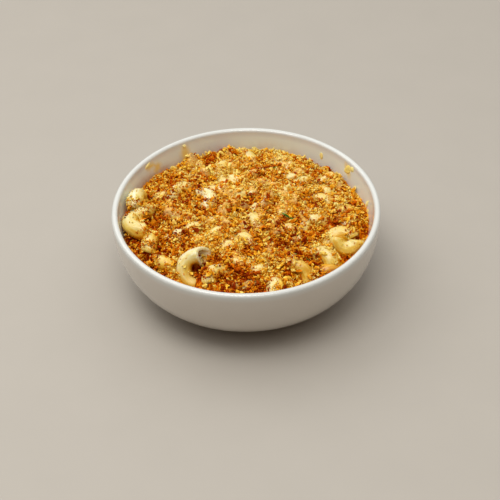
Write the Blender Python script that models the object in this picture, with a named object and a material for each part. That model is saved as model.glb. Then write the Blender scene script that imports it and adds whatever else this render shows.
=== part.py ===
"""Macaroni cheese with a crumb topping, in the round glazed bowl it is served in.

Units are metres. +Z is up, the origin is the centre of the bowl's foot, and +Y points
away from the side where the big macaroni stands proud of the heap.
"""

import math

import bmesh
import bpy
from mathutils import Matrix, Vector

MM = 0.001

# The bowl, outside and inside. Both walls are quarter superellipses turned round +Z, and the
# inner one also flares out towards the lip.
RIM_RADIUS = 75.0 * MM
BOWL_HEIGHT = 48.0 * MM
LIP_THICKNESS = 3.7 * MM
WALL_EXPONENT = 2.4
WALL_FLARE = 2.4 * MM
FLARE_POWER = 4
FOOT_RADIUS = 38.5 * MM
FOOT_HEIGHT = 3.2 * MM
FOOT_WIDTH = 4.0 * MM
FOOT_ROUNDING = 0.8 * MM
UNDERSIDE_HEIGHT = 2.2 * MM
INSIDE_FLOOR_HEIGHT = 7.0 * MM
INSIDE_FLOOR_RADIUS = 34.0 * MM
BOWL_SIDES = 56
WALL_STEPS = 10
LIP_STEPS = 4

# The heap. Depths are measured down from the rim.
FOOD_GAP = 0.4 * MM
CREST_DEPTH = 7.4 * MM
EDGE_DEPTH = 12.5 * MM
DOME_EXPONENT = 2.6
EDGE_WAVE = 0.9 * MM
HEAP_RINGS = 13

# A cooked elbow macaroni: a hollow tube bent round an arc. The details are the sides
# round the tube and the steps along it.
TUBE_RADIUS = 4.4 * MM
BORE_RADIUS = 2.9 * MM
BORE_DEPTH = 3.0 * MM
PROUD_DETAIL = (12, 7)
SUNK_DETAIL = (8, 5)

# Macaroni half sunk in the crumbs, laid out like the seeds of a sunflower. The sines
# tilt each one and raise its back a little differently from its neighbours'.
SUNK_COUNT = 56
SUNK_REACH = 63.0 * MM
SUNK_BEND = 7.5 * MM
SUNK_SHIFT = 2.0 * MM
WALL_CLEARANCE = 1.0 * MM
SUNK_ARC = 150
SUNK_TILT = 12
SUNK_BACK = 1.4 * MM
SUNK_WAVE = 0.9 * MM
GOLDEN_ANGLE = math.radians(137.508)
CLEARING = 11.0 * MM

# Macaroni that stands out of the crumbs. Each line holds the middle of its crown (mm),
# then the heading and lift of the way the crown points and the twist about it (degrees),
# the arc (degrees), the bend radius (mm) and which end shows its bore, if any.
PROUD_MACARONI = {
    "front_hook": (-33, -38.5, 40.3, 157, 25, -46, 156, 8.0, -1),
    "front_ridge": (-17, -45, 38.5, 120, 35, 20, 150, 7.5, 0),
    "front_cap": (15, -57, 38.5, 90, 70, 85, 130, 6.5, 0),
    "front_arch": (31, -46, 38.0, 10, 30, 50, 150, 7.5, 0),
    "right_small": (42, -32, 38.5, 60, 55, 0, 150, 6.0, 0),
    "right_cradle": (54.6, -26.8, 37.5, 264, -49, -5, 174, 5.6, -1),
    "right_ridge": (50, -17, 39.5, 112, 30, -18, 140, 7.5, 0),
    "left_peak": (-61.5, 17, 42.5, 90, 65, 80, 130, 7.0, 0),
    "left_wall": (-60.6, 5, 38.0, 200, 50, 90, 130, 6.5, 0),
    "left_slope": (-63, -8, 40.5, 222, 10, -5, 130, 7.0, 0),
    "left_low": (-53, -19.5, 39.5, 90, 75, 85, 130, 6.5, 0),
    "left_front": (-44, -37, 38.0, 255, 55, -15, 150, 7.0, 0),
    "back_hook": (-20, 17, 39.4, 15, 15, 0, 165, 7.5, 0),
    "back_ridge": (-37, 27, 39.0, 115, 35, 10, 150, 7.5, 0),
}


def clear_scene():
    for obj in list(bpy.data.objects):
        bpy.data.objects.remove(obj, do_unlink=True)


def make_material(name, colour, roughness):
    material = bpy.data.materials.new(name)
    material.use_nodes = True
    shader = material.node_tree.nodes["Principled BSDF"]
    shader.inputs["Base Color"].default_value = (*colour, 1.0)
    shader.inputs["Roughness"].default_value = roughness
    shader.inputs["Metallic"].default_value = 0.0
    return material


def add_object(name, bm, material=None):
    bmesh.ops.recalc_face_normals(bm, faces=bm.faces[:])
    mesh = bpy.data.meshes.new(name)
    bm.to_mesh(mesh)
    bm.free()
    mesh.shade_smooth()
    mesh.set_sharp_from_angle(angle=math.radians(50))
    obj = bpy.data.objects.new(name, mesh)
    bpy.context.scene.collection.objects.link(obj)
    if material:
        mesh.materials.append(material)
    return obj


# ---------------------------------------------------------------- bowl


def wall_point(turn, low, high):
    """The radius and height at turn, from 0 at the low end to 1 at the rim."""
    angle = turn * math.pi / 2
    power = 2 / WALL_EXPONENT
    across = math.sin(angle) ** power
    rise = 1 - math.cos(angle) ** power if turn < 1 else 1.0
    return (
        low[0] + (high[0] - low[0]) * across,
        low[1] + (high[1] - low[1]) * rise,
    )


def inside_point(turn, inset=0.0):
    """A point on the bowl's inner wall, or on a wall moved inwards by inset."""
    low = (INSIDE_FLOOR_RADIUS - inset, INSIDE_FLOOR_HEIGHT + inset)
    high = (RIM_RADIUS - LIP_THICKNESS - WALL_FLARE - inset, BOWL_HEIGHT - LIP_THICKNESS / 2)
    radius, height = wall_point(turn, low, high)
    share = (height - low[1]) / (high[1] - low[1])
    return radius + WALL_FLARE * share**FLARE_POWER, height


def inside_turn(height):
    """The turn at which the inner wall is this high."""
    low, high = 0.0, 1.0
    for _ in range(40):
        middle = (low + high) / 2
        if inside_point(middle)[1] < height:
            low = middle
        else:
            high = middle
    return (low + high) / 2


def arc_points(centre, radius, start, stop, steps):
    """Points on an arc, in radius and height, without its first one."""
    angles = (start + (stop - start) * i / steps for i in range(1, steps + 1))
    return [(centre[0] + radius * math.cos(a), centre[1] + radius * math.sin(a)) for a in angles]


def bowl_profile():
    """The bowl's section from the middle of its inside floor to the middle of its underside."""
    lip = LIP_THICKNESS / 2
    lip_centre = (RIM_RADIUS - lip, BOWL_HEIGHT - lip)
    inner = [inside_point(i / WALL_STEPS) for i in range(WALL_STEPS + 1)]
    over_lip = arc_points(lip_centre, lip, math.pi, 0, LIP_STEPS)
    body_low = (FOOT_RADIUS, FOOT_HEIGHT)
    body_high = (RIM_RADIUS, BOWL_HEIGHT - lip)
    outer = [wall_point(i / WALL_STEPS, body_low, body_high) for i in range(WALL_STEPS - 1, -1, -1)]
    foot_inner = FOOT_RADIUS - FOOT_WIDTH
    foot = [
        (FOOT_RADIUS - FOOT_ROUNDING / 2, FOOT_ROUNDING),
        (FOOT_RADIUS - 1.5 * FOOT_ROUNDING, 0.0),
        (foot_inner + FOOT_ROUNDING, 0.0),
        (foot_inner, FOOT_ROUNDING),
        (foot_inner - FOOT_ROUNDING, UNDERSIDE_HEIGHT),
    ]
    return [(0.0, INSIDE_FLOOR_HEIGHT), *inner, *over_lip, *outer, *foot, (0.0, UNDERSIDE_HEIGHT)]


def make_bowl(material):
    bm = bmesh.new()
    verts = [bm.verts.new((r, 0, z)) for r, z in bowl_profile()]
    edges = [bm.edges.new(pair) for pair in zip(verts, verts[1:])]
    bmesh.ops.spin(
        bm,
        geom=verts + edges,
        cent=(0, 0, 0),
        axis=(0, 0, 1),
        angle=math.tau,
        steps=BOWL_SIDES,
        use_merge=True,
    )
    bmesh.ops.remove_doubles(bm, verts=bm.verts[:], dist=0.01 * MM)
    return add_object("bowl", bm, material)


# ---------------------------------------------------------------- macaroni


def crown_axes(heading, lift, twist):
    """The way a macaroni's crown points, and the way its two arms lie apart (degrees in)."""
    heading, lift, twist = (math.radians(angle) for angle in (heading, lift, twist))
    flat = Vector((math.cos(heading), math.sin(heading), 0))
    outwards = math.cos(lift) * flat + math.sin(lift) * Vector((0, 0, 1))
    level = Vector((-flat.y, flat.x, 0))
    across = math.cos(twist) * level + math.sin(twist) * outwards.cross(level)
    return outwards, across


def arc_sections(crown, outwards, across, bend, arc, steps):
    """The centre and direction of each of the tube's sections, from end to end."""
    centre = crown - bend * outwards
    sections = []
    for i in range(steps + 1):
        angle = arc * (i / steps - 0.5)
        point = centre + bend * (math.cos(angle) * outwards + math.sin(angle) * across)
        along = math.cos(angle) * across - math.sin(angle) * outwards
        sections.append((point, along))
    return sections


def ring(bm, centre, along, side, radius, count):
    """A ring of vertices round the tube, starting square to the plane of the bend."""
    up = along.cross(side)
    angles = (math.tau * i / count for i in range(count))
    return [
        bm.verts.new(centre + radius * (math.cos(a) * side + math.sin(a) * up)) for a in angles
    ]


def skin(bm, first, second):
    """Quads between two rings of as many vertices."""
    count = len(first)
    for i in range(count):
        j = (i + 1) % count
        bm.faces.new((first[i], first[j], second[j], second[i]))


def bore_rings(bm, section, side, inwards, count):
    """The mouth and the bottom of the bore at one end of the tube."""
    centre, along = section
    bottom = centre + inwards * BORE_DEPTH * along
    return [
        ring(bm, centre, along, side, BORE_RADIUS, count),
        ring(bm, bottom, along, side, BORE_RADIUS, count),
    ]


def add_macaroni(name, numbers, detail, collection):
    """One elbow, kept as a guide that the heap takes in."""
    x, y, z, heading, lift, twist, arc, bend, open_end = numbers
    sides, steps = detail
    outwards, across = crown_axes(heading, lift, twist)
    crown = Vector((x, y, z)) * MM
    sections = arc_sections(crown, outwards, across, bend * MM, math.radians(arc), steps)
    square = outwards.cross(across)
    bm = bmesh.new()
    rings = [ring(bm, point, along, square, TUBE_RADIUS, sides) for point, along in sections]
    if open_end == -1:
        rings = [*reversed(bore_rings(bm, sections[0], square, 1, sides)), *rings]
    if open_end == 1:
        rings += bore_rings(bm, sections[-1], square, -1, sides)
    for first, second in zip(rings, rings[1:]):
        skin(bm, first, second)
    bm.faces.new(rings[0])
    bm.faces.new(rings[-1])
    macaroni = add_object(name, bm)
    macaroni.hide_render = True
    macaroni.display_type = "WIRE"
    bpy.context.scene.collection.objects.unlink(macaroni)
    collection.objects.link(macaroni)


def slide_in(crown, outwards, across, height):
    """The crown moved towards the middle, if need be, until the macaroni clears the wall."""
    room = inside_point(inside_turn(height))[0] - TUBE_RADIUS - WALL_CLEARANCE
    arc = math.radians(SUNK_ARC)
    sections = arc_sections(crown, outwards, across, SUNK_BEND, arc, SUNK_DETAIL[1])
    farthest = max((point.xy for point, _ in sections), key=lambda place: place.length)
    over = max(farthest.length - room, 0.0)
    return crown - over * farthest.normalized().to_3d()


def sunk_macaroni():
    """The numbers of each macaroni half sunk in the crumbs, in the order of the proud ones'."""
    crowns = [Vector(numbers[:2]) * MM for numbers in PROUD_MACARONI.values()]
    for i in range(SUNK_COUNT):
        radius = SUNK_REACH * math.sqrt((i + 0.5) / SUNK_COUNT)
        place = Vector((radius, 0))
        place.rotate(Matrix.Rotation(i * GOLDEN_ANGLE, 2))
        heading = 109 * i
        lift = SUNK_TILT * math.sin(1.3 * i)
        twist = SUNK_TILT * math.sin(3.1 * i)
        back = dome_height(radius) + SUNK_BACK + SUNK_WAVE * math.sin(2.4 * i)
        height = back - TUBE_RADIUS - SUNK_BEND * abs(math.sin(math.radians(twist)))
        outwards, across = crown_axes(heading, lift, twist)
        crown = Vector((*place, height)) + SUNK_SHIFT * outwards
        crown = slide_in(crown, outwards, across, height)
        if min((crown.xy - proud).length for proud in crowns) < CLEARING:
            continue
        yield *(crown / MM), heading, lift, twist, SUNK_ARC, SUNK_BEND / MM, 0


# ---------------------------------------------------------------- heap


def dome_height(radius):
    """The level that the crumbs fill up to, from the crest down to the wall."""
    inner_radius = RIM_RADIUS - LIP_THICKNESS
    share = min(radius / inner_radius, 1.0)
    fall = (EDGE_DEPTH - CREST_DEPTH) * share**DOME_EXPONENT
    return BOWL_HEIGHT - CREST_DEPTH - fall


def edge_height(azimuth):
    """The height at which the food meets the wall."""
    wave = math.sin(5 * azimuth + 1.0) + 0.6 * math.sin(11 * azimuth)
    return BOWL_HEIGHT - EDGE_DEPTH + EDGE_WAVE * wave


def disc_ring(bm, step):
    """Ring number step of the heap's top: 6 vertices a step, out to the wall."""
    verts = []
    for i in range(6 * step):
        azimuth = math.tau * i / (6 * step)
        edge = edge_height(azimuth)
        wall = inside_point(inside_turn(edge), FOOD_GAP)[0]
        radius = wall * step / HEAP_RINGS
        z = edge if step == HEAP_RINGS else dome_height(radius)
        verts.append(bm.verts.new((radius * math.cos(azimuth), radius * math.sin(azimuth), z)))
    return verts


def fill_between(bm, inner, outer, step):
    """Triangles between ring step - 1 and ring step of the heap's top."""
    for sector in range(6):
        for j in range(step):
            near = inner[(sector * (step - 1) + j) % len(inner)]
            first = outer[sector * step + j]
            second = outer[(sector * step + j + 1) % len(outer)]
            bm.faces.new((first, second, near))
            if j < step - 1:
                next_near = inner[(sector * (step - 1) + j + 1) % len(inner)]
                bm.faces.new((second, next_near, near))


def make_mound():
    """The food between the macaroni: a domed top, and sides that follow the bowl."""
    bm = bmesh.new()
    rings = [[bm.verts.new((0, 0, dome_height(0)))]]
    for step in range(1, HEAP_RINGS + 1):
        rings.append(disc_ring(bm, step))
        fill_between(bm, rings[-2], rings[-1], step)
    upper = rings[-1]
    lowest_edge = inside_turn(BOWL_HEIGHT - EDGE_DEPTH - 2 * EDGE_WAVE)
    top_level = 2 * math.floor(lowest_edge * WALL_STEPS / 2)
    for level in range(top_level, -1, -2):
        radius, height = inside_point(level / WALL_STEPS, FOOD_GAP)
        angles = (math.tau * j / len(upper) for j in range(len(upper)))
        lower = [
            bm.verts.new((radius * math.cos(a), radius * math.sin(a), height)) for a in angles
        ]
        skin(bm, upper, lower)
        upper = lower
    bm.faces.new(upper)
    return bm


def make_heap(material):
    """The mound with every macaroni joined to it, as one solid."""
    heap = add_object("mac_and_cheese", make_mound(), material)
    macaroni = bpy.data.collections.new("macaroni")
    bpy.context.scene.collection.children.link(macaroni)
    for name, numbers in PROUD_MACARONI.items():
        add_macaroni(name, numbers, PROUD_DETAIL, macaroni)
    for i, numbers in enumerate(sunk_macaroni()):
        add_macaroni(f"sunk_{i}", numbers, SUNK_DETAIL, macaroni)
    union = heap.modifiers.new("macaroni", "BOOLEAN")
    union.operation = "UNION"
    union.solver = "EXACT"
    union.operand_type = "COLLECTION"
    union.collection = macaroni
    return heap


def main():
    clear_scene()
    make_bowl(make_material("white_glaze", (0.86, 0.85, 0.81), 0.12))
    make_heap(make_material("crumbed_macaroni", (0.72, 0.38, 0.11), 0.65))


main()
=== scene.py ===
"""The looks of the bowl of macaroni cheese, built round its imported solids.

Units are metres, +Z is up, and the front of the bowl is towards -Y. The bowl is turned again,
finer, from the solids' own profile. The food is a bed of crumbs over the solids' own dome and
macaroni. On it lie the macaroni, loose crumbs of several kinds, pepper and herbs.
"""

import math

import bpy
import numpy as np
from mathutils import Matrix, Vector, noise
from mathutils.bvhtree import BVHTree


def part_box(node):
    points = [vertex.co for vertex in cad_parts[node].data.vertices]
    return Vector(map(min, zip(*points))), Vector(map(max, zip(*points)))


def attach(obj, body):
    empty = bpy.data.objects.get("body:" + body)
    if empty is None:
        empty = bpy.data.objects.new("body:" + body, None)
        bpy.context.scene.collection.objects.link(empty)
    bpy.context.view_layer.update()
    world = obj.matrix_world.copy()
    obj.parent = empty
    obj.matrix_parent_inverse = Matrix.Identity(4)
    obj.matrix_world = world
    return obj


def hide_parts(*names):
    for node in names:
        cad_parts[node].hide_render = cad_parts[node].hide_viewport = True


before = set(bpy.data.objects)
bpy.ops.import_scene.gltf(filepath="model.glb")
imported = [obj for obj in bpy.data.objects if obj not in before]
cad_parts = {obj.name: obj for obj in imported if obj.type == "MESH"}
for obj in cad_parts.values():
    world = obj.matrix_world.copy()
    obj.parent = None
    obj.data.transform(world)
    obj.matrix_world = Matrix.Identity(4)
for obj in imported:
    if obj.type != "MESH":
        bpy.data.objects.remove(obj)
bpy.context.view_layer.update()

MM = 0.001
rng = np.random.default_rng(46)

# The bowl's driving sizes, as in the solids.
BOWL_LOW, BOWL_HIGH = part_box("bowl")
RIM_RADIUS = (BOWL_HIGH.x - BOWL_LOW.x) / 2
BOWL_HEIGHT = BOWL_HIGH.z
LIP_THICKNESS = 3.7 * MM
WALL_EXPONENT = 2.4
WALL_FLARE = 2.4 * MM
FLARE_POWER = 4
FOOT_RADIUS = 38.5 * MM
FOOT_HEIGHT = 3.2 * MM
FOOT_WIDTH = 4.0 * MM
FOOT_ROUNDING = 0.8 * MM
UNDERSIDE_HEIGHT = 2.2 * MM
INSIDE_FLOOR_HEIGHT = 7.0 * MM
INSIDE_FLOOR_RADIUS = 34.0 * MM
INNER_RADIUS = RIM_RADIUS - LIP_THICKNESS
BOWL_SIDES = 240
WALL_STEPS = 36
LIP_STEPS = 12
FOOT_STEPS = 4
# How high the band of baked-on sauce and painted shade above the food reaches.
FILM_AND_SHADE_HEIGHT = 6.0 * MM

# The heap's driving sizes, as in the solids.
CREST_DEPTH = 7.4 * MM
EDGE_DEPTH = 12.5 * MM
DOME_EXPONENT = 2.6
EDGE_WAVE = 0.9 * MM

# Macaroni.
TUBE_RADIUS = 4.4 * MM
BORE_RADIUS = 2.9 * MM
TUBE_SIDES = 24
TUBE_STEPS = 18
GRAIN_ROUND = 3.2
GRAIN_LENGTH = 2.2
# The way the light comes from: macaroni skin facing it is painted paler, and skin turned away from it is painted a
# deeper yellow as shade.
PAINTED_LIGHT_SIDE = Vector((-0.45, 0.2, 0.87))
COAT_RELIEF = 0.45 * MM
SUNK_COUNT = 56
SUNK_REACH = 63.0 * MM
SUNK_BEND = 7.5 * MM
SUNK_SHIFT = 2.0 * MM
WALL_CLEARANCE = 1.0 * MM
SUNK_ARC = 150
SUNK_TILT = 12
SUNK_BACK = 1.4 * MM
SUNK_WAVE = 0.9 * MM
GOLDEN_ANGLE = math.radians(137.508)
CLEARING = 11.0 * MM

# Macaroni that stands out of the crumbs, as in the solids: the middle of its crown (mm), then
# heading, lift, twist and arc (degrees), bend radius (mm) and which end shows its bore.
PROUD_MACARONI = {
    "front_hook": (-33, -38.5, 40.3, 157, 25, -46, 156, 8.0, -1),
    "front_ridge": (-17, -45, 38.5, 120, 35, 20, 150, 7.5, 0),
    "front_cap": (15, -57, 38.5, 90, 70, 85, 130, 6.5, 0),
    "front_arch": (31, -46, 38.0, 10, 30, 50, 150, 7.5, 0),
    "right_small": (42, -32, 38.5, 60, 55, 0, 150, 6.0, 0),
    "right_cradle": (54.6, -26.8, 37.5, 264, -49, -5, 174, 5.6, -1),
    "right_ridge": (50, -17, 39.5, 112, 30, -18, 140, 7.5, 0),
    "left_peak": (-61.5, 17, 42.5, 90, 65, 80, 130, 7.0, 0),
    "left_wall": (-60.6, 5, 38.0, 200, 50, 90, 130, 6.5, 0),
    "left_slope": (-63, -8, 40.5, 222, 10, -5, 130, 7.0, 0),
    "left_low": (-53, -19.5, 39.5, 90, 75, 85, 130, 6.5, 0),
    "left_front": (-44, -37, 38.0, 255, 55, -15, 150, 7.0, 0),
    "back_hook": (-20, 17, 39.4, 15, 15, 0, 165, 7.5, 0),
    "back_ridge": (-37, 27, 39.0, 115, 35, 10, 150, 7.5, 0),
}

# How bare of crumbs each one's crown is, how far that reaches (mm) and how yellow its sauce is.
PROUD_LOOKS = {
    "front_hook": (0.99, 17, 0.1),
    "front_ridge": (0.5, 6, 0.5),
    "front_cap": (0.9, 5.5, 0.4),
    "front_arch": (0.8, 5.5, 0.9),
    "right_small": (0.7, 4.5, 0.6),
    "right_cradle": (0.99, 15, 0.5),
    "right_ridge": (0.9, 7, 0.9),
    "left_peak": (0.9, 9, 0.0),
    "left_wall": (0.3, 4.5, 0.4),
    "left_slope": (0.88, 8, 0.6),
    "left_low": (0.75, 5, 0.7),
    "left_front": (0.8, 5.5, 1.0),
    "back_hook": (0.85, 6.5, 0.1),
    "back_ridge": (0.5, 6, 0.4),
}

# How much farther the arm that sinks into the crumbs goes on round its bend (degrees).
TAILS = {"front_hook": 34}
OPEN_ENDS = ["front_hook"]
OPEN_END_CUT = 0.85
OPEN_END_FLARE = 0.22
OPEN_ENDS_FACE = Vector((0.2, -0.6, 0.78))

# Backs of macaroni that show through the crumbs: the place of the crown (mm), the way the
# back runs (degrees), its rise above the crumbs (mm), how bare its crown is and how yellow.
SHOWING_BACKS = [
    (5.5, -3, 117, 2.4, 0.85, 0.3),
    (-17, -13, 45, 2.0, 0.8, 0.2),
    (0, -18.5, 137, 1.8, 0.75, 0.4),
    (23.5, -10, 160, 1.6, 0.65, 0.3),
    (39, -2, 170, 1.8, 0.75, 0.1),
    (-29, -7, 20, 1.8, 0.75, 0.1),
    (-37, -12, 10, 1.4, 0.8, 0.0),
    (-9, -23.5, 0, 1.6, 0.6, 0.3),
    (6.5, -43.5, 15, 1.6, 0.6, 0.2),
    (44, 16, 145, 2.4, 0.8, 0.4),
    (24, 22, 72, 2.2, 0.6, 0.4),
    (-30.5, 54.5, 170, 3.2, 0.8, 0.6),
    (-13.5, 50, 38, 2.4, 0.6, 0.3),
    (21, 56, 0, 2.4, 0.6, 0.4),
    (-48, 23, 18, 1.8, 0.5, 0.3),
    (32.5, 33, 10, 2.0, 0.65, 0.3),
    (52, 17, 150, 1.6, 0.5, 0.7),
    (56, 8, 0, 1.8, 0.5, 0.9),
    (59, -2, 50, 2.6, 0.6, 0.6),
    (-5, -36.5, 0, 1.4, 0.7, 0.3),
    (44.5, -40, 20, 1.0, 0.95, 1.5),
    (42, -50, 62, -1.0, 0.95, 1.2),
    (-64, 3, 95, 5.0, 0.85, 0.0),
]
SHOWING_REACH = 6.0

# Where the crumbs fell away beside macaroni (mm): the place, the reach and the depth.
HOLLOWS = [
    (-28, -39.5, 5.5, 5.5),
    (-31, -51, 8.0, 6.0),
    (-60.5, -24, 4.0, 5.0),
    (53, -35.5, 6.0, 4.0),
    (44, -40, 8.0, 2.5),
    (64, -14, 4.0, 3.5),
    (38, -54, 5.0, 3.0),
    (-54, -30, 4.5, 3.0),
]

# Where they were piled up (mm): the place, the reach and the height.
CLUMPS = [
    (-8.5, 62, 7.0, 6.0),
    (-19.5, 59.5, 5.5, 4.0),
    (-33, 53, 6, 2.4),
    (3, 60.5, 6, -2.0),
    (14, 59, 6, 2.4),
    (31, 55, 7, 2.4),
    (46, 44, 6, 1.8),
    (-44, 45, 6, 2.0),
    (-57, 24, 6, 2.4),
    (-66, 5, 9, 4.5),
]


# ---------------------------------------------------------------- meshes


def mesh_object(name, verts, faces, material, smooth=True):
    """An object from arrays: verts is n by 3, faces is m by 3 or m by 4."""
    mesh = bpy.data.meshes.new(name)
    corners = faces.shape[1]
    mesh.vertices.add(len(verts))
    mesh.loops.add(faces.size)
    mesh.polygons.add(len(faces))
    mesh.vertices.foreach_set("co", np.asarray(verts, np.float32).ravel())
    mesh.loops.foreach_set("vertex_index", np.asarray(faces, np.int32).ravel())
    mesh.polygons.foreach_set("loop_start", np.arange(0, faces.size, corners, dtype=np.int32))
    mesh.polygons.foreach_set("use_smooth", np.full(len(faces), smooth))
    mesh.update(calc_edges=True)
    mesh.validate()
    mesh.materials.append(material)
    obj = bpy.data.objects.new(name, mesh)
    bpy.context.scene.collection.objects.link(obj)
    return obj


def set_uv(obj, per_vertex):
    """Gives each corner the map place of its vertex."""
    mesh = obj.data
    layer = mesh.uv_layers.new(name="OFBake")
    index = np.empty(len(mesh.loops), np.int32)
    mesh.loops.foreach_get("vertex_index", index)
    layer.data.foreach_set("uv", np.asarray(per_vertex, np.float32)[index].ravel())


def set_values(obj, name, values):
    """A number for each vertex, which the materials read by name."""
    attribute = obj.data.attributes.new(name, "FLOAT", "POINT")
    attribute.data.foreach_set("value", np.asarray(values, np.float32))


def set_colours(obj, name, colours):
    """A colour for each vertex, which the materials read by name."""
    attribute = obj.data.attributes.new(name, "FLOAT_COLOR", "POINT")
    full = np.ones((len(colours), 4), np.float32)
    full[:, :3] = colours
    attribute.data.foreach_set("color", full.ravel())


def set_places(obj, name, places):
    """A place in a pattern for each vertex, which the materials read by name."""
    attribute = obj.data.attributes.new(name, "FLOAT_VECTOR", "POINT")
    attribute.data.foreach_set("vector", np.asarray(places, np.float32).ravel())


def place_piece(obj, node):
    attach(obj, "root")
    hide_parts(node)


def bvh_of(*objects):
    verts, faces = [], []
    for obj in objects:
        start = len(verts)
        verts += [v.co.copy() for v in obj.data.vertices]
        faces += [[start + i for i in p.vertices] for p in obj.data.polygons]
    return BVHTree.FromPolygons(verts, faces)


# ---------------------------------------------------------------- materials


def srgb(red, green, blue):
    """Linear values of an sRGB colour given from 0 to 255."""
    shares = (c / 255 for c in (red, green, blue))
    return tuple(c / 12.92 if c <= 0.04045 else ((c + 0.055) / 1.055) ** 2.4 for c in shares)


class Nodes:
    """A material and a few short ways to add its nodes."""

    def __init__(self, name):
        self.material = bpy.data.materials.new(name)
        self.material.use_nodes = True
        self.tree = self.material.node_tree
        self.shader = self.tree.nodes["Principled BSDF"]

    def add(self, kind, **settings):
        node = self.tree.nodes.new(kind)
        for key, value in settings.items():
            setattr(node, key, value)
        return node

    def link(self, source, target):
        self.tree.links.new(source, target)

    def fix(self, **values):
        for key, value in values.items():
            socket = self.shader.inputs[key.replace("_", " ")]
            socket.default_value = (*value, 1.0) if len_of(value) == 3 and socket.type == "RGBA" else value

    def attribute(self, name, output="Fac"):
        return self.add("ShaderNodeAttribute", attribute_name=name).outputs[output]

    def noise(self, scale, detail=3.0, roughness=0.55, vector=None):
        node = self.add("ShaderNodeTexNoise")
        node.inputs["Scale"].default_value = scale
        node.inputs["Detail"].default_value = detail
        node.inputs["Roughness"].default_value = roughness
        self.link(vector or self.place(), node.inputs["Vector"])
        return node.outputs["Fac"]

    def voronoi(self, scale, feature="F1", output="Color"):
        node = self.add("ShaderNodeTexVoronoi", feature=feature)
        node.inputs["Scale"].default_value = scale
        self.link(self.place(), node.inputs["Vector"])
        return node.outputs[output]

    def place(self):
        return self.add("ShaderNodeTexCoord").outputs["Object"]

    def ramp(self, factor, stops):
        node = self.add("ShaderNodeValToRGB")
        elements = node.color_ramp.elements
        while len(elements) < len(stops):
            elements.new(0.5)
        for element, (position, colour) in zip(elements, stops):
            element.position = position
            element.color = (*colour, 1.0)
        self.link(factor, node.inputs["Fac"])
        return node.outputs["Color"]

    def mix(self, factor, first, second, blend="MIX"):
        node = self.add("ShaderNodeMix", data_type="RGBA", blend_type=blend)
        for socket, value in ((node.inputs["Factor"], factor), (node.inputs["A"], first), (node.inputs["B"], second)):
            self.feed(socket, value)
        return node.outputs["Result"]

    def feed(self, socket, value):
        if isinstance(value, bpy.types.NodeSocket):
            self.link(value, socket)
        elif len_of(value) == 3:
            socket.default_value = (*value, 1.0)
        else:
            socket.default_value = value

    def math(self, operation, first, second=0.0):
        node = self.add("ShaderNodeMath", operation=operation, use_clamp=True)
        self.feed(node.inputs[0], first)
        self.feed(node.inputs[1], second)
        return node.outputs["Value"]

    def bump(self, height, distance, strength=1.0):
        node = self.add("ShaderNodeBump")
        node.inputs["Distance"].default_value = distance
        node.inputs["Strength"].default_value = strength
        self.link(height, node.inputs["Height"])
        self.link(node.outputs["Normal"], self.shader.inputs["Normal"])


def len_of(value):
    return len(value) if isinstance(value, (tuple, list)) else 1


def glaze_material():
    """Warm white glaze with faint pooling and pinholes, painted darker and warmer outside as shade and lighter and
    cooler inside as painted light, with baked-on sauce and painted shade in a band above the food, and runs of melted
    cheese.
    """
    n = Nodes("white_glaze")
    mottle = n.ramp(n.noise(60, 4), [(0.3, (0.96,) * 3), (0.7, (1.0,) * 3)])
    # Painted shade and light: the outside below the lip gets a darker, warmer glaze as painted shade, and the inside a
    # lighter, cooler one as painted light.
    lip_and_shaded_outside = n.mix(n.attribute("outside"), srgb(216, 217, 212), srgb(212, 205, 194))
    glaze_with_painted_light = n.mix(n.attribute("inside"), lip_and_shaded_outside, srgb(229, 235, 226))
    glaze_with_painted_light = n.mix(1.0, glaze_with_painted_light, mottle, "MULTIPLY")
    # Baked-on sauce and painted shade: a brown band on the wall just above the food.
    sauce_film_and_shade = n.math("MULTIPLY", n.attribute("sauce_film_and_shade"), n.ramp(n.noise(350, 3), [(0.3, (0.55,) * 3), (0.7, (1.0,) * 3)]))
    filmed_and_shaded = n.mix(sauce_film_and_shade, glaze_with_painted_light, srgb(186, 138, 74))
    n.link(n.mix(n.attribute("cheese"), filmed_and_shaded, srgb(238, 206, 104)), n.shader.inputs["Base Color"])
    n.fix(Roughness=0.16, Coat_Weight=0.5, Coat_Roughness=0.06, IOR=1.5)
    n.bump(n.noise(180, 2), 0.05 * MM, 0.25)
    return n.material


def bare_clay_material():
    """The ground, unglazed edge of the foot ring."""
    n = Nodes("bare_clay")
    speckle = n.noise(1400, 4)
    n.link(n.ramp(speckle, [(0.35, srgb(196, 184, 166)), (0.65, srgb(222, 213, 198))]), n.shader.inputs["Base Color"])
    n.fix(Roughness=0.85)
    n.bump(speckle, 0.05 * MM, 0.6)
    return n.material


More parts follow.
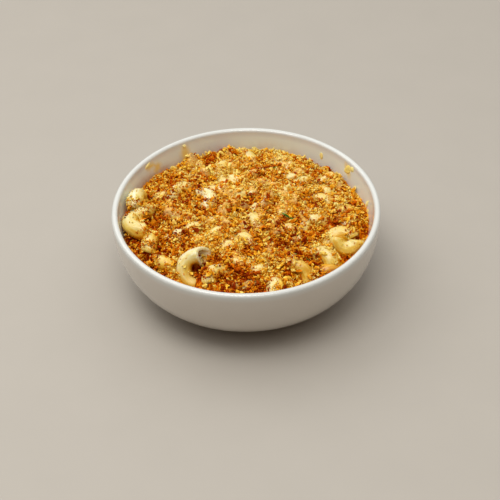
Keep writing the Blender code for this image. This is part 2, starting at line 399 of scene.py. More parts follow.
def pasta_material():
    """Cooked macaroni: pale and milky where it faces the light, a painted shade of deeper yellow on the sides turned
    from the light and low down, and a deeper yellow under sauce.
    """
    n = Nodes("cooked_macaroni")
    # The attribute named sauce holds the yellow of the real sauce together with painted shade on the sides turned from
    # the light and low down.
    sauce = n.attribute("sauce")
    patchy = n.noise(420, 5, 0.72)
    streaks = n.noise(1.0, 2, 0.5, n.attribute("grain", "Vector"))
    streaks = n.ramp(streaks, [(0.35, (0.0,) * 3), (0.65, (1.0,) * 3)])
    depth = n.math("ADD", sauce, n.math("MULTIPLY", patchy, 0.3))
    depth = n.math("SUBTRACT", depth, n.math("MULTIPLY", streaks, 0.18))
    body = n.ramp(
        depth,
        [
            (0.0, srgb(240, 232, 198)),
            (0.12, srgb(232, 216, 152)),
            (0.25, srgb(227, 204, 126)),
            (0.4, srgb(228, 192, 80)),
            (0.6, srgb(216, 156, 18)),
            (1.0, srgb(158, 78, 0)),
        ],
    )
    n.link(body, n.shader.inputs["Base Color"])
    n.fix(Roughness=0.32, Subsurface_Weight=0.2, Subsurface_Scale=0.0014)
    n.fix(Subsurface_Radius=(1.0, 0.8, 0.5), Coat_Weight=0.25, Coat_Roughness=0.2)
    n.bump(n.mix(0.5, patchy, streaks), 0.2 * MM, 0.6)
    return n.material


def crumb_look(n, tint, roughness):
    """The shared look of toasted bread: rough and hardly shiny."""
    n.link(tint, n.shader.inputs["Base Color"])
    n.fix(Roughness=roughness, Specular_IOR_Level=0.03)


def bed_material():
    """The layer of toasted crumbs under the loose ones, in its own tints, with painted shade low between the crumbs and
    painted light on their tops.
    """
    n = Nodes("toasted_crust")
    speckle = n.noise(1500, 3, 0.65)
    mottled = n.mix(speckle, (0.75, 0.62, 0.40), (1.3, 1.3, 1.3))
    crumb_look(n, n.mix(1.0, n.attribute("tint", "Color"), mottled, "MULTIPLY"), 0.5)
    n.bump(speckle, 0.4 * MM, 0.8)
    return n.material


def crumb_material(name, roughness=0.55):
    """Breadcrumb, in each piece's own tint."""
    n = Nodes(name)
    mottled = n.mix(n.noise(1700, 3, 0.6), (0.85, 0.75, 0.36), (1.22, 1.21, 0.88))
    crumb_look(n, n.mix(1.0, n.attribute("tint", "Color"), mottled, "MULTIPLY"), roughness)
    n.bump(n.noise(2600, 2), 0.25 * MM, 0.7)
    return n.material


def plain_material(name, colour, roughness, bump_scale=900):
    n = Nodes(name)
    shade = n.noise(bump_scale, 2)
    darker = tuple(0.95 * c for c in colour)
    n.link(n.mix(shade, darker, colour), n.shader.inputs["Base Color"])
    n.fix(Roughness=roughness)
    n.bump(shade, 0.1 * MM, 0.5)
    return n.material


# ---------------------------------------------------------------- bowl


def wall_point(turn, low, high):
    """The radius and height at turn, from 0 at the low end to 1 at the rim."""
    angle = turn * math.pi / 2
    power = 2 / WALL_EXPONENT
    across = math.sin(angle) ** power
    rise = 1 - math.cos(angle) ** power if turn < 1 else 1.0
    return (
        low[0] + (high[0] - low[0]) * across,
        low[1] + (high[1] - low[1]) * rise,
    )


def inside_point(turn, inset=0.0):
    """A point on the bowl's inner wall, or on a wall moved inwards by inset."""
    low = (INSIDE_FLOOR_RADIUS - inset, INSIDE_FLOOR_HEIGHT + inset)
    high = (INNER_RADIUS - WALL_FLARE - inset, BOWL_HEIGHT - LIP_THICKNESS / 2)
    radius, height = wall_point(turn, low, high)
    share = (height - low[1]) / (high[1] - low[1])
    return radius + WALL_FLARE * share**FLARE_POWER, height


def inside_turn(height):
    """The turn at which the inner wall is this high."""
    low, high = 0.0, 1.0
    for _ in range(40):
        middle = (low + high) / 2
        if inside_point(middle)[1] < height:
            low = middle
        else:
            high = middle
    return (low + high) / 2


def arc_points(centre, radius, start, stop, steps):
    """Points on an arc, in radius and height, without its first one."""
    angles = (start + (stop - start) * i / steps for i in range(1, steps + 1))
    return [(centre[0] + radius * math.cos(a), centre[1] + radius * math.sin(a)) for a in angles]


def bowl_profile():
    """The bowl's section from near the middle of its inside floor to that of its underside."""
    lip = LIP_THICKNESS / 2
    lip_centre = (RIM_RADIUS - lip, BOWL_HEIGHT - lip)
    floor = [(INSIDE_FLOOR_RADIUS * i / 6, INSIDE_FLOOR_HEIGHT) for i in range(1, 6)]
    inner = [inside_point(i / WALL_STEPS) for i in range(WALL_STEPS + 1)]
    over_lip = arc_points(lip_centre, lip, math.pi, 0, LIP_STEPS)
    body_low = (FOOT_RADIUS, FOOT_HEIGHT)
    body_high = (RIM_RADIUS, BOWL_HEIGHT - lip)
    outer = [wall_point(i / WALL_STEPS, body_low, body_high) for i in range(WALL_STEPS - 1, -1, -1)]
    quarter = math.pi / 2
    foot_inner = FOOT_RADIUS - FOOT_WIDTH
    outer_round = (FOOT_RADIUS - FOOT_ROUNDING, FOOT_ROUNDING)
    inner_round = (foot_inner + FOOT_ROUNDING, FOOT_ROUNDING)
    foot = [(FOOT_RADIUS, FOOT_ROUNDING)]
    foot += arc_points(outer_round, FOOT_ROUNDING, 0, -quarter, FOOT_STEPS)
    foot += [(inner_round[0], 0.0)]
    foot += arc_points(inner_round, FOOT_ROUNDING, -quarter, -2 * quarter, FOOT_STEPS)
    foot += [(foot_inner - FOOT_ROUNDING, UNDERSIDE_HEIGHT), (foot_inner / 2, UNDERSIDE_HEIGHT)]
    return [*floor, *inner, *over_lip, *outer, *foot]


def make_bowl():
    """The profile turned round +Z, with its two middles closed by fans."""
    profile = np.array(bowl_profile())
    rows, sides = len(profile), BOWL_SIDES
    turn = np.arange(sides) * math.tau / sides
    verts = np.empty((rows, sides, 3))
    verts[..., 0] = profile[:, :1] * np.cos(turn)
    verts[..., 1] = profile[:, :1] * np.sin(turn)
    verts[..., 2] = profile[:, 1:]
    verts = [*map(tuple, verts.reshape(-1, 3))]
    verts += [(0, 0, INSIDE_FLOOR_HEIGHT), (0, 0, UNDERSIDE_HEIGHT)]
    faces = []
    for row in range(rows - 1):
        for i in range(sides):
            j = (i + 1) % sides
            first, second = row * sides, (row + 1) * sides
            faces.append((first + i, second + i, second + j, first + j))
    top, bottom = rows * sides, rows * sides + 1
    for i in range(sides):
        j = (i + 1) % sides
        faces.append((top, i, j))
        faces.append((bottom, (rows - 1) * sides + j, (rows - 1) * sides + i))
    mesh = bpy.data.meshes.new("glazed_bowl")
    mesh.from_pydata(verts, [], faces)
    mesh.shade_smooth()
    mesh.materials.append(glaze_material())
    mesh.materials.append(bare_clay_material())
    for polygon in mesh.polygons:
        if polygon.center.z < FOOT_ROUNDING / 3:
            polygon.material_index = 1
    bowl = bpy.data.objects.new("glazed_bowl", mesh)
    bpy.context.scene.collection.objects.link(bowl)
    map_bowl(bowl, profile)
    set_values(bowl, "sauce_film_and_shade", [film_and_shade_on_wall(v.co) for v in mesh.vertices])
    set_values(bowl, "cheese", [cheese_on_wall(v.co) for v in mesh.vertices])
    # How far below the lip each vertex is, for the painted light on the inside and the painted shade on the outside of
    # the glaze.
    below = np.array([min(max((BOWL_HEIGHT - LIP_THICKNESS / 2 - v.co.z) / (2 * MM), 0.0), 1.0) for v in mesh.vertices])
    before_lip = np.arange(len(below)) < sides * (len(profile) // 2)
    set_values(bowl, "inside", below * before_lip)
    set_values(bowl, "outside", below * ~before_lip)
    place_piece(bowl, "bowl")
    return bowl


# Melted cheese on the wall: the way round (degrees), height, half width, half height (mm), lean.
CHEESE_RUNS = [
    (120.4, 39.0, 3.6, 7.4, 0),
    (141.5, 43.4, 4.6, 2.6, 30),
    (137.5, 40.0, 3.2, 3.4, 20),
    (32.5, 42.4, 3.2, 4.2, -30),
]


def film_and_shade_on_wall(place):
    """How much baked-on sauce and painted shade there is on the bowl here: a band just above the food, where the food
    shades the wall, stronger on the side turned from the light.
    """
    radius = math.hypot(place.x, place.y)
    if radius > RIM_RADIUS - LIP_THICKNESS / 2 or place.z > BOWL_HEIGHT - LIP_THICKNESS / 2:
        return 0.0
    above = place.z - edge_height(math.atan2(place.y, place.x))
    if above < -5 * MM:
        return 0.0
    ragged = 1.2 * MM * noise.noise(place / (3 * MM)) + 0.8 * MM * noise.noise(place / (9 * MM))
    # Painted shade: the band is stronger on the wall turned from the light.
    side = min(0.7 - 0.5 * math.cos(math.atan2(place.y, place.x) - math.radians(20)), 1.0)
    return side * min(max(1 - (above + ragged) / FILM_AND_SHADE_HEIGHT, 0.0), 1.0) ** 1.5


def cheese_on_wall(place):
    """How much melted cheese ran down the inner wall here."""
    if math.hypot(place.x, place.y) > INNER_RADIUS:
        return 0.0
    total = 0.0
    for azimuth, height, across, up, lean in CHEESE_RUNS:
        aside = math.atan2(place.y, place.x) - math.radians(azimuth)
        aside = math.remainder(aside, math.tau) * INNER_RADIUS / MM
        above = place.z / MM - height
        aside += above * math.tan(math.radians(lean))
        share = (aside / across) ** 2 + (above / up) ** 2
        total += max(1 - share, 0.0) ** 0.7
    return min(total, 1.0)


def map_bowl(bowl, profile):
    """A map that is the bowl's own unrolled wall: turn across, distance along the profile up."""
    steps = np.hypot(*np.diff(profile, axis=0).T)
    along = np.concatenate([[0], np.cumsum(steps)]) / steps.sum()
    layer = bowl.data.uv_layers.new(name="OFBake")
    rows, sides = len(profile), BOWL_SIDES
    for polygon in bowl.data.polygons:
        columns = [v % sides for v in polygon.vertices if v < rows * sides]
        wraps = max(columns) - min(columns) > 1
        for loop, vertex in zip(polygon.loop_indices, polygon.vertices):
            if vertex >= rows * sides:
                column = min(columns) + 0.5
                row_place = 0.0 if vertex == rows * sides else 1.0
            else:
                column = vertex % sides
                row_place = 0.01 + 0.98 * along[vertex // sides]
                if wraps and column == 0:
                    column = sides
            layer.data[loop].uv = (column / sides, row_place)


# ---------------------------------------------------------------- macaroni


def crown_axes(heading, lift, twist):
    """The way a macaroni's crown points, and the way its two arms lie apart (degrees in)."""
    heading, lift, twist = (math.radians(angle) for angle in (heading, lift, twist))
    flat = Vector((math.cos(heading), math.sin(heading), 0))
    outwards = math.cos(lift) * flat + math.sin(lift) * Vector((0, 0, 1))
    level = Vector((-flat.y, flat.x, 0))
    across = math.cos(twist) * level + math.sin(twist) * outwards.cross(level)
    return outwards, across


def dome_height(radius):
    """The level that the crumbs fill up to, from the crest down to the wall."""
    share = min(radius / INNER_RADIUS, 1.0)
    fall = (EDGE_DEPTH - CREST_DEPTH) * share**DOME_EXPONENT
    return BOWL_HEIGHT - CREST_DEPTH - fall


def edge_height(azimuth):
    """The height at which the food meets the wall."""
    wave = math.sin(5 * azimuth + 1.0) + 0.6 * math.sin(11 * azimuth)
    return BOWL_HEIGHT - EDGE_DEPTH + EDGE_WAVE * wave


def slide_in(crown, outwards, across, height, bend, arc):
    """The crown moved towards the middle, if need be, until the macaroni clears the wall."""
    room = inside_point(inside_turn(height))[0] - TUBE_RADIUS - WALL_CLEARANCE
    centre = crown - bend * outwards
    angles = (math.radians(arc) * (i / 5 - 0.5) for i in range(6))
    places = [(centre + bend * (math.cos(a) * outwards + math.sin(a) * across)).xy for a in angles]
    farthest = max(places, key=lambda place: place.length)
    over = max(farthest.length - room, 0.0)
    return crown - over * farthest.normalized().to_3d()


def sunk_macaroni():
    """The numbers of each macaroni half sunk in the crumbs, in the order of the proud ones'."""
    crowns = [Vector(numbers[:2]) * MM for numbers in PROUD_MACARONI.values()]
    for i in range(SUNK_COUNT):
        radius = SUNK_REACH * math.sqrt((i + 0.5) / SUNK_COUNT)
        place = Vector((radius, 0))
        place.rotate(Matrix.Rotation(i * GOLDEN_ANGLE, 2))
        heading = 109 * i
        lift = SUNK_TILT * math.sin(1.3 * i)
        twist = SUNK_TILT * math.sin(3.1 * i)
        back = dome_height(radius) + SUNK_BACK + SUNK_WAVE * math.sin(2.4 * i)
        height = back - TUBE_RADIUS - SUNK_BEND * abs(math.sin(math.radians(twist)))
        outwards, across = crown_axes(heading, lift, twist)
        crown = Vector((*place, height)) + SUNK_SHIFT * outwards
        crown = slide_in(crown, outwards, across, height, SUNK_BEND, SUNK_ARC)
        if min((crown.xy - proud).length for proud in crowns) < CLEARING:
            continue
        yield *(crown / MM), heading, lift, twist, SUNK_ARC, SUNK_BEND / MM, 0, 0


def showing_macaroni():
    """The numbers of each macaroni whose back shows, standing in the crumbs like an arch."""
    for i, (x, y, runs, rise, _, _) in enumerate(SHOWING_BACKS):
        lift = 72 + 10 * math.sin(2.1 * i)
        bend = (6.6 + 0.8 * math.sin(1.7 * i)) * MM
        outwards, across = crown_axes(runs - 90, lift, 0)
        top = dome_height(math.hypot(x, y) * MM) + rise * MM
        height = top - TUBE_RADIUS
        crown = Vector((x * MM, y * MM, height))
        crown = slide_in(crown, outwards, across, height, bend, 140)
        yield *(crown / MM), runs - 90, lift, 0, 140, bend / MM, 0, 0


def tube_rings(length, open_end):
    """How far along and how far out each ring of the tube's skin lies, outside then inside.
    A shut end is full of sauce: its edge is rounder and its bore only a dimple."""
    edge = 0.35 * MM if open_end else 1.1 * MM
    bore = BORE_RADIUS if open_end else 0.2 * BORE_RADIUS
    along = np.linspace(edge, length - edge, TUBE_STEPS + 1)
    outer = [(s, TUBE_RADIUS) for s in along]
    far_end = [(length - 0.1 * edge, TUBE_RADIUS - 0.6 * edge), (length, bore + edge)]
    inner = [(s, bore) for s in along[::-1]]
    near_end = [(0.0, bore + edge), (0.1 * edge, TUBE_RADIUS - 0.6 * edge)]
    return np.array(outer + far_end + inner + near_end)


def macaroni_shell(index, numbers):
    """Vertices, grain, painted light shares and faces of one elbow: a hollow tube bent round an arc. The share is how
    far the skin faces the light, and is higher near an open end.
    """
    x, y, z, heading, lift, twist, arc, bend, open_end, tail = numbers
    outwards, across = (np.array(v) for v in crown_axes(heading, lift, twist))
    square = np.cross(outwards, across)
    bend = bend * MM
    centre = np.array((x, y, z)) * MM - bend * outwards
    arc = math.radians(arc)
    length = (arc + math.radians(tail)) * bend
    rings = tube_rings(length, open_end)
    turn = np.arange(TUBE_SIDES) * math.tau / TUBE_SIDES
    cuts = 0.32 * math.sin(5.3 * index + 0.7), 0.32 * math.sin(7.1 * index + 2.0)
    lean = math.radians(37) * index
    if open_end:
        away = math.cos(arc / 2) * outwards - math.sin(arc / 2) * across
        facing = np.array(OPEN_ENDS_FACE)
        cuts = OPEN_END_CUT, 0.0
        lean = math.atan2(facing @ away, facing @ square)
    size = 1 + 0.045 * math.sin(3.7 * index)
    verts, grains, painted_light_shares = [], [], []
    for row, (s, radius) in enumerate(rings):
        radius = radius * size
        near = max(0.0, 1 - s / (2 * TUBE_RADIUS))
        far = max(0.0, 1 - (length - s) / (2 * TUBE_RADIUS))
        shift = radius * (near * cuts[0] - far * cuts[1]) * np.cos(turn - lean)
        angle = (s + shift) / bend - arc / 2
        flare = 1 + 0.05 * (near**2 + far**2)
        if open_end:
            flare = flare + OPEN_END_FLARE * near**2 * (1 + 0.5 * np.sin(3 * turn + 1.0))
        pinch = 1 + 0.04 * np.cos(2 * (turn - 1.3 * index)) + 0.02 * np.sin(3 * turn + 9 * s / length)
        out = radius * flare * pinch
        outside = row <= TUBE_STEPS
        ring_centre = bend * (np.cos(angle)[:, None] * outwards + np.sin(angle)[:, None] * across)
        away = np.cos(angle)[:, None] * outwards + np.sin(angle)[:, None] * across
        spread = np.cos(turn)[:, None] * square + np.sin(turn)[:, None] * away
        skin = centre + ring_centre + out[:, None] * spread
        if outside:
            swell = [noise.noise(Vector(v) / (3.2 * MM)) + 0.4 * noise.noise(Vector(v) / (1.3 * MM)) for v in skin]
            skin = skin + COAT_RELIEF * np.array(swell)[:, None] * spread
        verts.append(skin)
        # Painted light: skin facing the light gets a high share and comes out pale, skin turned away gets a low one and
        # comes out a deeper yellow as painted shade. The bore gets one share.
        painted_light_share = spread @ np.array(PAINTED_LIGHT_SIDE) if outside else np.full(TUBE_SIDES, 0.6)
        painted_light_shares.append(painted_light_share + 0.35 * near * open_end)
        lengthwise = np.full(TUBE_SIDES, GRAIN_LENGTH * s / length + 10.0 * index)
        grains.append(np.stack([GRAIN_ROUND * np.cos(turn), GRAIN_ROUND * np.sin(turn), lengthwise], -1))
    count = len(rings)
    ring_index = np.arange(count)[:, None]
    side_index = np.arange(TUBE_SIDES)[None, :]
    here = ring_index * TUBE_SIDES + side_index
    beside = ring_index * TUBE_SIDES + (side_index + 1) % TUBE_SIDES
    after = ((ring_index + 1) % count) * TUBE_SIDES + side_index
    diagonal = ((ring_index + 1) % count) * TUBE_SIDES + (side_index + 1) % TUBE_SIDES
    faces = np.stack([here, beside, diagonal, after], -1).reshape(-1, 4)
    return np.concatenate(verts), np.concatenate(grains), np.concatenate(painted_light_shares), faces


def make_macaroni(name, all_numbers, yellows, material):
    """All of the macaroni of one kind as one piece."""
    verts, grains, sauce_and_painted_shade, faces, cells = [], [], [], [], []
    start = 0
    columns = math.ceil(math.sqrt(len(all_numbers)))
    for index, (numbers, yellow) in enumerate(zip(all_numbers, yellows)):
        shell, grain, up, quads = macaroni_shell(index, numbers)
        level = np.array([dome_height(radius) for radius in np.hypot(shell[:, 0], shell[:, 1])])
        sunk = np.clip((level - shell[:, 2]) / (5 * MM), 0, 1)
        verts.append(shell)
        grains.append(grain)
        # Sauce and painted shade: each macaroni's own yellow, a deeper yellow painted as shade where the skin is turned
        # from the light, and more where it lies low in the crumbs, partly sauce pooled there and partly painted shade.
        sauce_and_painted_shade.append(np.clip(0.5 * yellow + 0.8 * (0.95 - up) + 0.4 * sunk, 0, 2))
        faces.append(quads + start)
        ring_count = len(shell) // TUBE_SIDES
        u, v = np.meshgrid(np.arange(TUBE_SIDES) / TUBE_SIDES, np.arange(ring_count) / ring_count)
        corner = np.array((index % columns, index // columns))
        cells.append((corner + 0.04 + 0.92 * np.stack([u, v], -1).reshape(-1, 2)) / columns)
        start += len(shell)
    obj = mesh_object(name, np.concatenate(verts), np.concatenate(faces), material)
    set_values(obj, "sauce", np.concatenate(sauce_and_painted_shade) / 2)
    set_places(obj, "grain", np.concatenate(grains))
    set_uv(obj, np.concatenate(cells))
    place_piece(obj, "mac_and_cheese")
    return obj


# ---------------------------------------------------------------- the bed of crumbs


BED_SPACING = 0.46 * MM
BED_LOW = 0.9 * MM
COVER_THICKNESS = 0.6 * MM
THIN_COVER = 0.38
COATED_PASTA = srgb(234, 200, 128)
TOAST = [
    (0.0, srgb(248, 228, 156)),
    (0.2, srgb(246, 211, 104)),
    (0.4, srgb(241, 184, 40)),
    (0.6, srgb(229, 148, 0)),
    (0.8, srgb(203, 99, 0)),
    (1.0, srgb(144, 48, 0)),
]


def smooth_noise(x, y, size, seed):
    return noise.noise(Vector((x / size, y / size, seed * 7.3)))


def toasting_and_front_shade(x, y):
    """How toasted the crumbs are at a place, about 0 to 1, in small clumps and in wider zones, with painted shade
    making them darker towards the front.
    """
    clump = smooth_noise(x, y, 2.4 * MM, 21) + 0.6 * smooth_noise(x, y, 1.1 * MM, 23)
    zone = smooth_noise(x, y, 13 * MM, 22)
    # Painted shade: darker towards the front, the side of the heap turned from the light.
    return 0.52 + 0.56 * clump + 0.42 * zone - 0.12 * y / INNER_RADIUS


def toast_colours(tones):
    """Linear colours for tones from 0, untoasted, to 1, burnt."""
    stops = [tone for tone, _ in TOAST]
    return np.stack([np.interp(tones, stops, [colour[c] for _, colour in TOAST]) for c in range(3)], -1)


def crumb_relief(x, y):
    """The height of the crumbs in the bed: rounded pieces of two sizes."""
    coarse = noise.voronoi(Vector((x / (2.1 * MM), y / (2.1 * MM), 3.1)))[0][0]
    fine = noise.voronoi(Vector((x / (1.2 * MM), y / (1.2 * MM), 8.7)))[0][0]
    return 1.3 * MM * (0.5 - min(coarse, 1.0)) + 0.6 * MM * (0.5 - min(fine, 1.0))


def bumps(spots, x, y):
    """The sum of smooth round bumps at the spots: place and reach (mm), and height (mm)."""
    total = 0.0
    for spot_x, spot_y, reach, height in spots:
        share = ((x / MM - spot_x) ** 2 + (y / MM - spot_y) ** 2) / reach**2
        if share < 1.0:
            total += height * MM * (1.0 - share) ** 2
    return total


def bed_points():
    """Places over the whole heap at an even spacing, in rings of 6 more each, and their faces."""
    rings = round(INNER_RADIUS / BED_SPACING)
    places, starts = [(0.0, 0.0)], [0]
    for step in range(1, rings + 1):
        starts.append(len(places))
        for i in range(6 * step):
            azimuth = math.tau * i / (6 * step)
            places.append((azimuth, step / rings))
    faces = []
    for step in range(1, rings + 1):
        inner, outer = starts[step - 1], starts[step]
        inner_count = max(6 * (step - 1), 1)
        for sector in range(6):
            for j in range(step):
                near = inner + (sector * (step - 1) + j) % inner_count
                first = outer + sector * step + j
                second = outer + (sector * step + j + 1) % (6 * step)
                faces.append((first, second, near))
                if j < step - 1:
                    next_near = inner + (sector * (step - 1) + j + 1) % inner_count
                    faces.append((second, next_near, near))
    return places, np.array(faces)


def make_bed(covered):
    """The crumb-covered top of the food, out to the wall, and its side down to below the crumbs."""
    tree = bvh_of(covered)
    places, faces = bed_points()
    verts, tones, coats = [], [], []
    for azimuth, share in places:
        edge = edge_height(azimuth)
        wall = inside_point(inside_turn(edge), 0.05 * MM)[0] if share > 0.9 else INNER_RADIUS
        radius = wall * share
        x, y = radius * math.cos(azimuth), radius * math.sin(azimuth)
        swell = 2.4 * MM * smooth_noise(x, y, 10 * MM, 1) + 1.6 * MM * smooth_noise(x, y, 5 * MM, 2)
        ground = dome_height(radius) - BED_LOW
        blend = min(max((share - 0.93) / 0.07, 0.0), 1.0)
        ground = ground * (1 - blend) + (edge - 0.4 * MM) * blend
        hit = tree.ray_cast(Vector((x, y, BOWL_HEIGHT + 5 * MM)), Vector((0, 0, -1)))[0]
        coat = 0.0
        if hit and hit.z > ground:
            coat = min((hit.z - ground) / (1.5 * MM), 1.0)
            ground = hit.z + COVER_THICKNESS * min((hit.z - ground) / COVER_THICKNESS, 1.0)
        relief = crumb_relief(x, y) * (1 - 0.2 * coat)
        shaped = bumps(CLUMPS, x, y) * (1 - 0.6 * blend) - bumps(HOLLOWS, x, y)
        verts.append((x, y, ground + swell * (1 - blend) + shaped + relief))
        # Painted shade: the bed is darker and more toasted where its relief is low, between the crumbs.
        tones.append(toasting_and_front_shade(x, y) + 0.22 - 0.35 * relief / MM)
        coats.append(0.8 * coat)
    verts = np.array(verts)
    coats = np.array(coats)[:, None]
    tones = np.array(tones)
    pasta = np.array(COATED_PASTA) * (1.25 - 0.5 * tones[:, None])
    tints = (1 - coats) * toast_colours(tones) + coats * pasta
    obj = mesh_object("crumb_bed", verts, faces, bed_material())
    set_colours(obj, "tint", tints)
    set_uv(obj, 0.5 + 0.49 * verts[:, :2] / INNER_RADIUS)
    place_piece(obj, "mac_and_cheese")
    return obj


# ---------------------------------------------------------------- loose crumbs

# Painted shade low between the crumbs and on their feet: how much it darkens red, green and blue there. Painted light
# on their tops: how near to the colour of dry bread they come.
PAINTED_SHADE_TINT = np.array((0.1, 0.3, 0.8))
PAINTED_LIGHT_CREAM = np.array(srgb(248, 232, 184))
PAINTED_LIGHT_SHARE = 0.3


def paint_shade_and_light(tints, up):
    """The tints with painted shade where up is below 0, and painted light where it is above, from -1 to 1."""
    low, high = np.minimum(up, 0)[..., None], np.maximum(up, 0)[..., None]
    painted_light = PAINTED_LIGHT_SHARE * high * np.clip(tints[..., 1:2] / PAINTED_LIGHT_CREAM[1], 0, 1) ** 2.5
    return tints * (1 + low * PAINTED_SHADE_TINT) + painted_light * (PAINTED_LIGHT_CREAM - tints)


def ico_sphere(subdivisions):
    import bmesh

    bm = bmesh.new()
    bmesh.ops.create_icosphere(bm, subdivisions=subdivisions, radius=1.0)
    verts = np.array([v.co for v in bm.verts])
    faces = np.array([[v.index for v in f.verts] for f in bm.faces])
    bm.free()
    return verts, faces


def crumb_shapes(subdivisions, count, roughness):
    """Several irregular lumps about 1 across, with flats and dents."""
    verts, faces = ico_sphere(subdivisions)
    shapes = []
    for _ in range(count):
        lump = verts * (1 + roughness * rng.uniform(-1, 1, (len(verts), 1)))
        lump = lump * rng.uniform((0.9, 0.5, 0.32), (1.45, 0.9, 0.68))
        shapes.append(lump / 2)
    return shapes, faces


def random_turns(count):
    """Rotation matrices spread evenly over all directions."""
    q = rng.normal(size=(count, 4))
    q /= np.linalg.norm(q, axis=1, keepdims=True)
    w, x, y, z = q.T
    rows = [
        [1 - 2 * (y * y + z * z), 2 * (x * y - z * w), 2 * (x * z + y * w)],
        [2 * (x * y + z * w), 1 - 2 * (x * x + z * z), 2 * (y * z - x * w)],
        [2 * (x * z - y * w), 2 * (y * z + x * w), 1 - 2 * (x * x + y * y)],
    ]
    return np.array(rows).transpose(2, 0, 1)


def scatter(name, places, sizes, tints, shapes, faces, material, turns=None, choice=None, tips=0.75, shade_painted=False):
    """One piece made of many small lumps, each with its own tint, paler at its tips, and if asked with painted shade
    underneath and painted light on top.
    """
    count = len(places)
    turns = random_turns(count) if turns is None else turns
    choice = rng.integers(0, len(shapes), count) if choice is None else choice
    lumps = np.array(shapes)[choice] * np.asarray(sizes)[:, None, None]
    verts = np.einsum("nij,nvj->nvi", turns, lumps) + np.asarray(places)[:, None, :]
    per = lumps.shape[1]
    all_faces = faces[None] + (np.arange(count) * per)[:, None, None]
    obj = mesh_object(name, verts.reshape(-1, 3), all_faces.reshape(-1, 3), material, smooth=False)
    reach = np.linalg.norm(np.array(shapes), axis=2)
    reach = (reach / reach.mean(axis=1, keepdims=True))[choice][:, :, None]
    uneven = np.clip(1 - tips + tips * reach, 0.5, 1.4) ** np.array((0.7, 1.1, 2.0))
    # How high each vertex stands on its crumb, for painted shade underneath and painted light on top.
    up = (verts[:, :, 2] - np.asarray(places)[:, None, 2]) / (0.4 * np.asarray(sizes)[:, None])
    shaded = paint_shade_and_light(tints[:, None, :] * uneven, np.clip(up, -1, 1)) if shade_painted else tints[:, None, :] * uneven
    set_colours(obj, "tint", np.clip(shaded, 0, 0.95).reshape(-1, 3))
    columns = math.ceil(math.sqrt(count))
    cell = np.stack([np.arange(count) % columns, np.arange(count) // columns], -1)
    flat = lumps[:, :, :2] / (1.3 * np.asarray(sizes)[:, None, None]) + 0.5
    set_uv(obj, ((cell[:, None, :] + 0.05 + 0.9 * np.clip(flat, 0, 1)) / columns).reshape(-1, 2))
    place_piece(obj, "mac_and_cheese")
    return obj


class Ground:
    """A map of how high the food stands and what it is made of, to lay crumbs on."""

    CELL = 0.4 * MM
    COUNT = 360

    def __init__(self, bed, covered, macaroni, covers):
        self.half = self.CELL * self.COUNT / 2
        self.height = np.full((self.COUNT, self.COUNT), dome_height(INNER_RADIUS))
        self.bare = np.zeros((self.COUNT, self.COUNT))
        bed_tree, covered_tree, pasta_tree = bvh_of(bed), bvh_of(covered), bvh_of(macaroni)
        faces_each = len(macaroni.data.polygons) // len(covers)
        down = Vector((0, 0, -1))
        for i in range(self.COUNT):
            for j in range(self.COUNT):
                x, y = self.place(i), self.place(j)
                if x * x + y * y > INNER_RADIUS**2:
                    continue
                start = Vector((x, y, BOWL_HEIGHT + 5 * MM))
                bed_hit = bed_tree.ray_cast(start, down)[0]
                pasta_hit, _, face, _ = pasta_tree.ray_cast(start, down)
                covered_hit = covered_tree.ray_cast(start, down)[0]
                level = dome_height(math.hypot(x, y))
                if bed_hit:
                    self.height[i, j] = bed_hit.z
                if covered_hit:
                    raised = (covered_hit.z - level + BED_LOW) / (1.5 * MM)
                    self.bare[i, j] = THIN_COVER * min(max(raised, 0.0), 1.0)
                if pasta_hit and pasta_hit.z > self.height[i, j]:
                    self.height[i, j] = pasta_hit.z
                    proud = (pasta_hit.z - level - 0.2 * MM) / (1.0 * MM)
                    crown_x, crown_y, share, reach = covers[face // faces_each]
                    away = math.hypot(x / MM - crown_x, y / MM - crown_y) / reach
                    spot = min(max(2.5 * (1.0 - away), 0.0), 1.0)
                    self.bare[i, j] = share * spot * min(max(proud, 0.0), 1.0)

    def place(self, index):
        return (index + 0.5) * self.CELL - self.half

    def index(self, value):
        return int((value + self.half) / self.CELL)

    def patch(self, x, y, radius):
        """The slice of cells round a place, and the squared distances from it as a share."""
        reach = max(1, math.ceil(radius / self.CELL))
        i, j = self.index(x), self.index(y)
        rows = slice(max(i - reach, 0), i + reach + 1)
        columns = slice(max(j - reach, 0), j + reach + 1)
        dx = (np.arange(rows.start, rows.start + self.height[rows, columns].shape[0]) + 0.5) * self.CELL
        dy = (np.arange(columns.start, columns.start + self.height[rows, columns].shape[1]) + 0.5) * self.CELL
        share = ((dx - self.half - x)[:, None] ** 2 + (dy - self.half - y)[None, :] ** 2) / radius**2
        return rows, columns, share

    def settle(self, reach):
        """A random place, moved to the lowest of a few spots beside it, as crumbs roll."""
        radius, azimuth = reach * math.sqrt(rng.uniform()), rng.uniform(0, math.tau)
        x, y = radius * math.cos(azimuth), radius * math.sin(azimuth)
        spots = [(x, y), *((x, y) + rng.normal(0, 0.9 * MM, (2, 2)))]
        spots = [spot for spot in spots if math.hypot(*spot) < reach] or [(x, y)]
        return min(spots, key=lambda spot: self.height[self.index(spot[0]), self.index(spot[1])])

    def lay(self, x, y, size):
        """Drops a crumb, raises the map by it, and returns the height of its middle."""
        radius = size / 2
        rows, columns, share = self.patch(x, y, radius)
        here = self.height[rows, columns]
        under = here[share < 1.0]
        support = under.mean() if under.size else here.max()
        middle = support + 0.28 * size
        cap = middle + 0.3 * size * np.sqrt(np.clip(1 - share, 0, 1))
        self.height[rows, columns] = np.where(share < 1.0, np.maximum(here, cap), here)
        return middle


